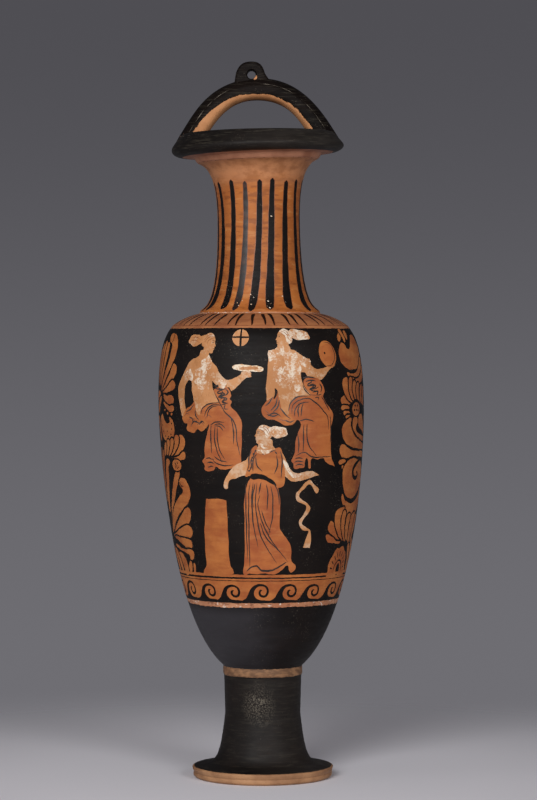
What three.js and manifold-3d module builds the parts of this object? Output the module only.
// A tall wheel-thrown amphora with a bail handle over its mouth: a disc foot on a hollow stem,
// a slender shouldered body, a trumpet neck, a wide overhanging lip, and an arched strap handle
// with a pierced lug on top. It was joined from its parts before firing, so it is one hollow solid.
// The frame is +Z up, with the origin under the middle of the belly, on the surface it stands on.
// All sizes are in millimetres. Radii are measured from the pot's own axis.
import * as THREE from "three";
import { mergeVertices } from "three/addons/utils/BufferGeometryUtils.js";
import Module from "manifold-3d";

// The foot: a disc with a grooved edge, dished up into the stem.
const footRadius = 55.2; // the disc's sharp upper edge
const footStandRadius = 52.2; // outer edge of the ring that touches the ground
const footStandWidth = 6;
const footBandHeight = 4.4; // each of the two bands on the disc's edge
const footGrooveDepth = 0.9;
const footSlopeRise = 2.8; // the disc's upper face, from its edge to the stem's flare
const footSlopeWidth = 14.2;

// The stem, with a reserved ring at its top.
const stemRadius = 29.4;
const stemTopRadius = 30.2;
const stemHeight = 80.5; // from the ground to the ring
const stemWaistHeight = 50; // where the flare of the foot has died away
const stemWall = 7;
const stemHollowHeight = 77;
const ringRadius = 31;
const ringHeight = 6.6;

// The body, from the ring to the root of the neck.
const wall = 5;
const floorThickness = 14; // between the vessel's floor and the hollow of the stem
const bellyRadius = 80.3;
const bellyHeight = 204.9; // from the ring's top to the widest place
const shoulderRadius = 68.6;
const shoulderHeight = 59.8; // from the widest place to the shoulder's edge
const shoulderRise = 10; // the sloping shoulder, from its edge to the root of the neck

// The neck.
const neckRootRadius = 46.9;
const neckRadius = 32.1;
const neckWaistHeight = 72.2; // from the root to the narrowest place
const neckFlareHeight = 45.7; // from the narrowest place to the moulding
const neckTopRadius = 46.4;

// The lip: a moulding, then a broad overhanging flange with a bevelled top.
const mouldingRadius = 49.3;
const mouldingHeight = 4.6;
const lipRadius = 67.2;
const lipUnderRise = 5.9; // from the flange's underside to its widest place
const lipFaceHeight = 8.7; // the sloping outer face
const lipArrisRadius = 61.6;
const lipBevelHeight = 2.8;
const lipTopRadius = 58.2;
const mouthRadius = 37.5;
const mouthDrop = 7.4; // from the lip's top down to the mouth's edge

// The bail handle over the mouth.
const bailRise = 42.8; // from the lip's top to the crown of the arch
const bailHalfSpan = 59.5; // outer edge of the arch at the lip's top
const bailWidth = 24;
const bailThickness = 17.2;
const bailLegSwell = 0.1; // the legs are this share thicker than the crown
const bailRootSlope = THREE.MathUtils.degToRad(59); // how steeply each leg leaves the lip
const bailArrisDrop = 5.6; // the edge between the sloping back and the side, below the crown
const bailSideHeight = 5.2; // the upright side below that edge
const bailRoot = 6; // how far each leg runs down into the lip

// The lug on the crown, pierced for a cord.
const lugHeight = 12.8;
const lugWidth = 26;
const lugTopWidth = 15;
const lugThickness = 13;
const lugBevel = 1.5;
const lugShift = -4; // it sits off the middle of the arch
const lugRoot = 8; // how far it is let into the arch
const holeRadius = 3.3;
const holeHeight = 2.6; // its centre, above the crown

// The pot is hand made: it leans a little, and its lip is tilted.
const leanSlope = 0.0138; // sideways drift per millimetre of height
const footShift = 1.2;
const lipTilt = THREE.MathUtils.degToRad(2.2); // of the flange; its top face tips half as much

// How finely the round surfaces are faceted.
const turnSteps = 44;
const bailSteps = 22;
const holeSteps = 20;

// Heights that follow from the sizes above.
const ringTopZ = stemHeight + ringHeight;
const floorZ = stemHollowHeight + floorThickness;
const bellyZ = ringTopZ + bellyHeight;
const shoulderZ = bellyZ + shoulderHeight;
const neckRootZ = shoulderZ + shoulderRise;
const waistZ = neckRootZ + neckWaistHeight;
const mouldingZ = waistZ + neckFlareHeight;
const lipUnderZ = mouldingZ + mouldingHeight;
const lipWidestZ = lipUnderZ + lipUnderRise;
const lipArrisZ = lipWidestZ + lipFaceHeight;
const lipTopZ = lipArrisZ + lipBevelHeight;
const mouthZ = lipTopZ - mouthDrop;
const crownZ = lipTopZ + bailRise;

const at = (r, z) => new THREE.Vector2(r, z);

// Points along a profile curve from a to b, where each end's handle gives its direction and pull.
// A crowding over 1 draws the points together towards a.
function curve(a, handleA, handleB, b, steps, crowding = 1) {
  const line = new THREE.CubicBezierCurve(a, a.clone().add(handleA), b.clone().add(handleB), b);
  return Array.from({ length: steps + 1 }, (_, i) => line.getPoint((i / steps) ** crowding));
}

// A profile moved inwards by a wall's thickness.
function inside(points, thickness) {
  return points.map((p, i) => {
    const before = points[Math.max(i - 1, 0)];
    const after = points[Math.min(i + 1, points.length - 1)];
    const along = after.clone().sub(before).normalize();
    return at(p.x - along.y * thickness, p.y + along.x * thickness);
  });
}

// The body's and the neck's outer curves, which the inner wall follows too.
function bodyCurve(steps) {
  const ringEdge = at(ringRadius - 0.4, ringTopZ);
  const belly = at(bellyRadius, bellyZ);
  const shoulderEdge = at(shoulderRadius, shoulderZ);
  const root = at(neckRootRadius, neckRootZ - 0.4);
  const lower = curve(ringEdge, at(39.2, 34), at(0, -48.4), belly, steps, 1.35);
  const upper = curve(belly, at(0, 51.8), at(1.8, -4.1), shoulderEdge, steps - 4);
  const slope = curve(shoulderEdge, at(-4.8, 4.1), at(6.8, -0.8), root, 3);
  return [...lower, ...upper.slice(1), ...slope.slice(1)];
}

function neckCurve(steps) {
  const root = at(neckRootRadius, neckRootZ);
  const waist = at(neckRadius, waistZ);
  const top = at(neckTopRadius, mouldingZ);
  const lower = curve(root, at(0.8, 6.7), at(0, -78.4), waist, steps, 1.2);
  const upper = curve(waist, at(0, 30), at(-9, -3), top, steps, 0.8);
  return [...lower, ...upper.slice(1)];
}

function footProfile() {
  const slopeZ = 2 * footBandHeight;
  const standInner = footStandRadius - footStandWidth;
  const hollow = at(stemRadius - stemWall, stemHollowHeight - 20);
  const flare = at(footRadius - footSlopeWidth, slopeZ + footSlopeRise);
  return [
    ...curve(at(0, stemHollowHeight), at(15, 0), at(0, 12), hollow, 3),
    ...curve(at(hollow.x + 0.6, 28), at(0.5, -15), at(-9, 3), at(standInner - 3, 4), 4),
    at(standInner, 0),
    at(footStandRadius, 0),
    at(footRadius - footGrooveDepth, 1.6),
    at(footRadius - footGrooveDepth, footBandHeight - 0.6),
    at(footRadius - 2 * footGrooveDepth, footBandHeight),
    at(footRadius - footGrooveDepth, footBandHeight + 0.6),
    at(footRadius, slopeZ - 0.8),
    at(footRadius - 0.7, slopeZ),
    ...curve(flare, at(-7, 2.4), at(2.6, -22), at(stemRadius, stemWaistHeight), 6),
    at(stemTopRadius, stemHeight - 0.8),
  ];
}

// The reserved ring at the top of the stem, a shallow band with soft edges.
function ringProfile() {
  return [at(ringRadius, stemHeight + 0.6), at(ringRadius, ringTopZ - 1.6)];
}

function lipProfile() {
  const widest = at(lipRadius, lipWidestZ);
  return [
    at(mouldingRadius - 1.4, mouldingZ + 1.2),
    at(mouldingRadius, lipUnderZ - 1),
    at(mouldingRadius + 0.8, lipUnderZ),
    ...curve(at(lipRadius - 8, lipUnderZ + 0.7), at(4.4, 0.3), at(0, -2.6), widest, 3),
    ...curve(widest, at(0, 2.4), at(2.2, -3.6), at(lipArrisRadius, lipArrisZ), 3).slice(1),
    at(lipTopRadius, lipTopZ),
    at(mouthRadius + 4, mouthZ + 3),
  ];
}

// The inner wall, from the mouth's edge down the neck and the body to the floor.
function hollowProfile() {
  const waist = at(neckRadius - wall, waistZ);
  const throat = curve(at(mouthRadius, mouthZ), at(-4.5, -12), at(0, 22), waist, 4);
  const lowerNeck = inside(neckCurve(4).slice(0, 4), wall).slice(1).reverse();
  const body = inside(bodyCurve(8), wall).reverse();
  const aboveFloor = body.filter((p) => p.y > floorZ + wall);
  const floorEdge = aboveFloor[aboveFloor.length - 1].x - wall;
  return [...throat, ...lowerNeck, ...aboveFloor, at(floorEdge, floorZ), at(0, floorZ)];
}

function vesselGeometry() {
  const profile = [
    ...footProfile(),
    ...ringProfile(),
    ...bodyCurve(10),
    ...neckCurve(7),
    ...lipProfile(),
    ...hollowProfile(),
  ];
  return new THREE.LatheGeometry(profile, turnSteps).rotateX(Math.PI / 2);
}

// The arch's middle line: up from the left leg to the crown and down the right leg.
function bailLine() {
  const half = bailThickness / 2;
  const rise = new THREE.Vector3(-Math.cos(bailRootSlope), 0, Math.sin(bailRootSlope));
  const foot = new THREE.Vector3(bailHalfSpan - half * rise.z, 0, lipTopZ + half * rise.x);
  const root = foot.clone().addScaledVector(rise, -bailRoot);
  const rising = foot.clone().addScaledVector(rise, bailRise * 0.49);
  const shoulder = new THREE.Vector3(foot.x * 0.56, 0, crownZ - half);
  const crown = new THREE.Vector3(0, 0, crownZ - half);
  const mirrored = (p) => new THREE.Vector3(-p.x, 0, p.z);
  const line = new THREE.CurvePath();
  line.add(new THREE.LineCurve3(mirrored(root), mirrored(foot)));
  line.add(new THREE.CubicBezierCurve3(mirrored(foot), mirrored(rising), mirrored(shoulder), crown));
  line.add(new THREE.CubicBezierCurve3(crown, shoulder, rising, foot));
  line.add(new THREE.LineCurve3(foot, root));
  return line;
}

// The strap's section, across by outward: a sloping ridged back, upright sides, a rounded underside.
function bailSection() {
  const half = bailWidth / 2;
  const top = bailThickness / 2;
  const arris = top - bailArrisDrop;
  const side = arris - bailSideHeight;
  const right = [
    at(half * 0.45, top - bailArrisDrop * 0.18),
    at(half * 0.86, arris + bailArrisDrop * 0.3),
    at(half, arris),
    at(half, side),
    at(half * 0.84, side - (side + top) * 0.55),
    at(half * 0.46, (side + top) * 0.1 - top),
  ];
  const left = right.map((p) => at(-p.x, p.y)).reverse();
  return [at(0, top), ...right, at(0, -top), ...left];
}

function bailGeometry() {
  const line = bailLine();
  const section = bailSection();
  const count = section.length;
  const position = [];
  const index = [];
  for (let i = 0; i <= bailSteps; i++) {
    const place = line.getPointAt(i / bailSteps);
    const along = line.getTangentAt(i / bailSteps);
    const swell = 1 + bailLegSwell * (1 - Math.sin((Math.PI * i) / bailSteps));
    for (const p of section) {
      position.push(place.x - along.z * p.y * swell, p.x, place.z + along.x * p.y * swell);
    }
  }
  for (let i = 0; i < bailSteps; i++) {
    for (let j = 0; j < count; j++) {
      const here = i * count + j;
      const beside = i * count + ((j + 1) % count);
      index.push(here, here + count, beside, beside, here + count, beside + count);
    }
  }
  const end = bailSteps * count;
  for (let j = 1; j < count - 1; j++) {
    index.push(0, j, j + 1, end, end + j + 1, end + j);
  }
  const geometry = new THREE.BufferGeometry();
  geometry.setAttribute("position", new THREE.Float32BufferAttribute(position, 3));
  return geometry.setIndex(index);
}

// The lug: a tapering tab with a round head, standing across the crown.
function lugGeometry() {
  const half = lugWidth / 2 - lugBevel;
  const head = lugTopWidth / 2 - lugBevel;
  const top = lugHeight - lugBevel;
  const depth = lugThickness - 2 * lugBevel;
  const tab = new THREE.Shape();
  tab.moveTo(-half - 1, -lugRoot);
  tab.bezierCurveTo(-half, -1, -half + 0.5, 2, -half + 1, 4);
  tab.bezierCurveTo(-head - 2.4, top - 2, -head, top, 0, top);
  tab.bezierCurveTo(head, top, head + 1.6, top - 3, half - 2.6, 3.4);
  tab.bezierCurveTo(half - 1.6, 0.6, half + 1.4, -2, half + 4, -lugRoot);
  const bevel = { bevelThickness: lugBevel, bevelSize: lugBevel, bevelSegments: 2 };
  const tabSolid = new THREE.ExtrudeGeometry(tab, { depth, curveSegments: 5, ...bevel });
  return tabSolid.translate(lugShift, crownZ, -depth / 2).rotateX(Math.PI / 2);
}

function holeGeometry() {
  const drill = new THREE.CylinderGeometry(holeRadius, holeRadius, 3 * lugThickness, holeSteps);
  return drill.translate(lugShift, 0, crownZ + holeHeight);
}

const wasm = await Module();
wasm.setup();

// A closed three.js geometry as a solid that can be joined and cut.
function solidFrom(geometry) {
  geometry.deleteAttribute("normal");
  geometry.deleteAttribute("uv");
  const merged = mergeVertices(geometry, 1e-3);
  const vertProperties = merged.attributes.position.array;
  const triVerts = new Uint32Array(merged.index.array);
  return new wasm.Manifold(new wasm.Mesh({ numProp: 3, vertProperties, triVerts }));
}

// The pot's own irregularity: the axis drifts sideways with height, and the lip tips to one side.
function handMade(x, y, z) {
  const drift = Math.min(footShift, leanSlope * (bellyZ - z));
  const easing = 1 - 0.5 * THREE.MathUtils.smoothstep(z, lipUnderZ, lipTopZ);
  const tipped = THREE.MathUtils.smoothstep(z, waistZ, mouldingZ) * easing * Math.tan(lipTilt);
  return [x + drift, y, z + x * tipped];
}

function geometryOf(solid) {
  const { numProp, numVert, vertProperties, triVerts } = solid.getMesh();
  const position = new Float32Array(numVert * 3);
  for (let i = 0; i < numVert; i++) {
    const from = i * numProp;
    position.set(handMade(...vertProperties.subarray(from, from + 3)), i * 3);
  }
  const geometry = new THREE.BufferGeometry();
  geometry.setAttribute("position", new THREE.BufferAttribute(position, 3));
  geometry.setIndex(new THREE.BufferAttribute(triVerts, 1));
  geometry.computeVertexNormals();
  return geometry;
}

const handle = solidFrom(bailGeometry()).add(solidFrom(lugGeometry()));
const pot = solidFrom(vesselGeometry()).add(handle).subtract(solidFrom(holeGeometry()));
const firedClay = new THREE.MeshStandardMaterial({ color: 0x2a211b, roughness: 0.42, metalness: 0 });
const amphora = new THREE.Mesh(geometryOf(pot), firedClay);
amphora.name = "amphora";

const group = new THREE.Group();
group.add(amphora);
export default group;
